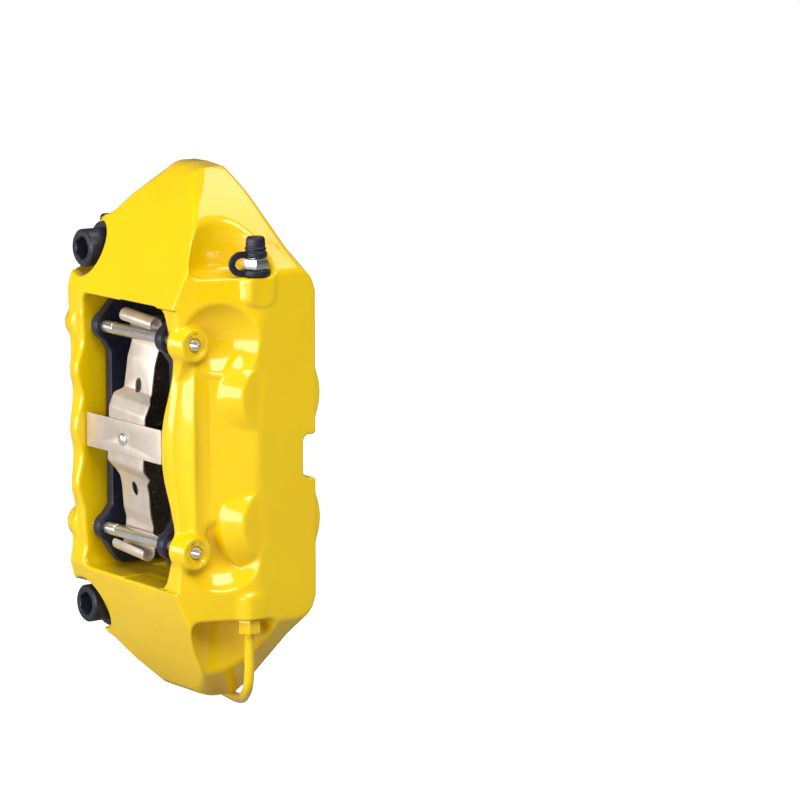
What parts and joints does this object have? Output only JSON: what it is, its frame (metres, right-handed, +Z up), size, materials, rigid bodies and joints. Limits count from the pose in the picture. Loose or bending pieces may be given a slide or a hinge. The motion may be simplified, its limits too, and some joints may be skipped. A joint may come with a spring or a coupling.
{
  "type": "brake caliper",
  "caption": "Fixed opposed-piston brake caliper, yellow painted, with pads, pins, pad spring, bleeders, crossover pipe and radial mounting bolts.",
  "frame": {"origin": "middle of the two knuckle mounting faces, on the line between the two mounting bolt axes", "axes": "+X points at the disc axis, square to the mounting faces; +Y is the knuckle side (inboard), -Y the wheel side; +Z is up, along the disc edge"},
  "size_m": [0.082, 0.1267, 0.2553],
  "materials": {
    "yellow_paint": "glossy powder coat over cast aluminium",
    "piston_steel": "hard-chromed, ground",
    "seal_rubber": "smooth moulded EPDM",
    "pad_plate_black": "satin black powder coat over pressed steel",
    "friction_lining": "pressed friction compound with metal flecks",
    "shim_steel": "rolled stainless sheet",
    "pin_steel": "ground and polished",
    "spring_steel": "satin stainless spring strip",
    "zinc_steel": "bright zinc plate",
    "cap_rubber": "moulded rubber",
    "black_steel": "black oxide"
  },
  "bodies": {
    "housing": {"caliper_body": "yellow_paint", "piston_seal_outboard_upper": "seal_rubber", "dust_boot_outboard_upper": "seal_rubber", "piston_seal_outboard_lower": "seal_rubber", "dust_boot_outboard_lower": "seal_rubber", "piston_seal_inboard_upper": "seal_rubber", "dust_boot_inboard_upper": "seal_rubber", "piston_seal_inboard_lower": "seal_rubber", "dust_boot_inboard_lower": "seal_rubber", "pad_spring": "spring_steel", "spring_cross_strap": "spring_steel", "spring_rivet": "pin_steel", "crossover_pipe": "yellow_paint", "pipe_nut_outboard": "yellow_paint", "pipe_nut_inboard": "yellow_paint", "mounting_washer_upper": "black_steel", "mounting_bolt_upper": "black_steel", "mounting_washer_lower": "black_steel", "mounting_bolt_lower": "black_steel"},
    "outboard_pad": {"pad_plate_outboard": "pad_plate_black", "pad_lining_outboard": "friction_lining", "pad_shim_outboard": "shim_steel"},
    "outboard_upper_piston": {"piston_outboard_upper": "piston_steel"},
    "outboard_lower_piston": {"piston_outboard_lower": "piston_steel"},
    "inboard_pad": {"pad_plate_inboard": "pad_plate_black", "pad_lining_inboard": "friction_lining", "pad_shim_inboard": "shim_steel"},
    "inboard_upper_piston": {"piston_inboard_upper": "piston_steel"},
    "inboard_lower_piston": {"piston_inboard_lower": "piston_steel"},
    "upper_pin": {"pad_pin_upper": "pin_steel"},
    "lower_pin": {"pad_pin_lower": "pin_steel"},
    "outboard_bleeder": {"bleeder_screw_outboard": "zinc_steel", "bleeder_cap_ring_outboard": "cap_rubber", "bleeder_cap_strap_outboard": "cap_rubber"},
    "outboard_bleeder_cap": {"bleeder_cap_outboard": "cap_rubber"},
    "inboard_bleeder": {"bleeder_screw_inboard": "zinc_steel", "bleeder_cap_ring_inboard": "cap_rubber", "bleeder_cap_strap_inboard": "cap_rubber"},
    "inboard_bleeder_cap": {"bleeder_cap_inboard": "cap_rubber"}
  },
  "joints": [
    {"name": "outboard_pad_slide", "type": "slide", "parent": "housing", "child": "outboard_pad", "axis": [0, 1, 0], "range_m": [-0.001, 0.009]},
    {"name": "outboard_upper_piston_slide", "type": "slide", "parent": "housing", "child": "outboard_upper_piston", "axis": [0, 1, 0], "range_m": [-0.001, 0.009]},
    {"name": "outboard_lower_piston_slide", "type": "slide", "parent": "housing", "child": "outboard_lower_piston", "axis": [0, 1, 0], "range_m": [-0.001, 0.009]},
    {"name": "inboard_pad_slide", "type": "slide", "parent": "housing", "child": "inboard_pad", "axis": [0, -1, 0], "range_m": [-0.001, 0.009]},
    {"name": "inboard_upper_piston_slide", "type": "slide", "parent": "housing", "child": "inboard_upper_piston", "axis": [0, -1, 0], "range_m": [-0.001, 0.009]},
    {"name": "inboard_lower_piston_slide", "type": "slide", "parent": "housing", "child": "inboard_lower_piston", "axis": [0, -1, 0], "range_m": [-0.001, 0.009]},
    {"name": "upper_pin_slide", "type": "slide", "parent": "housing", "child": "upper_pin", "axis": [0, 1, 0], "range_m": [0, 0.11]},
    {"name": "lower_pin_slide", "type": "slide", "parent": "housing", "child": "lower_pin", "axis": [0, 1, 0], "range_m": [0, 0.11]},
    {"name": "outboard_bleeder_turn", "type": "hinge", "parent": "housing", "child": "outboard_bleeder", "pos_m": [-0.0157, -0.0962, 0.0805], "axis": [0, 0, 1], "range_deg": [0, 90]},
    {"name": "outboard_bleeder_cap_pull", "type": "slide", "parent": "outboard_bleeder", "child": "outboard_bleeder_cap", "axis": [0, 0, 1], "range_m": [0, 0.012], "deforming": ["bleeder_cap_strap_outboard"]},
    {"name": "inboard_bleeder_turn", "type": "hinge", "parent": "housing", "child": "inboard_bleeder", "pos_m": [-0.024, 0.0165, 0.0805], "axis": [0, 0, 1], "range_deg": [0, 90]},
    {"name": "inboard_bleeder_cap_pull", "type": "slide", "parent": "inboard_bleeder", "child": "inboard_bleeder_cap", "axis": [0, 0, 1], "range_m": [0, 0.012], "deforming": ["bleeder_cap_strap_inboard"]}
  ],
  "couplings": [
    {"joint": "outboard_upper_piston_slide", "follows": "outboard_pad_slide", "ratio": 1},
    {"joint": "outboard_lower_piston_slide", "follows": "outboard_pad_slide", "ratio": 1},
    {"joint": "inboard_upper_piston_slide", "follows": "inboard_pad_slide", "ratio": 1},
    {"joint": "inboard_lower_piston_slide", "follows": "inboard_pad_slide", "ratio": 1}
  ]
}
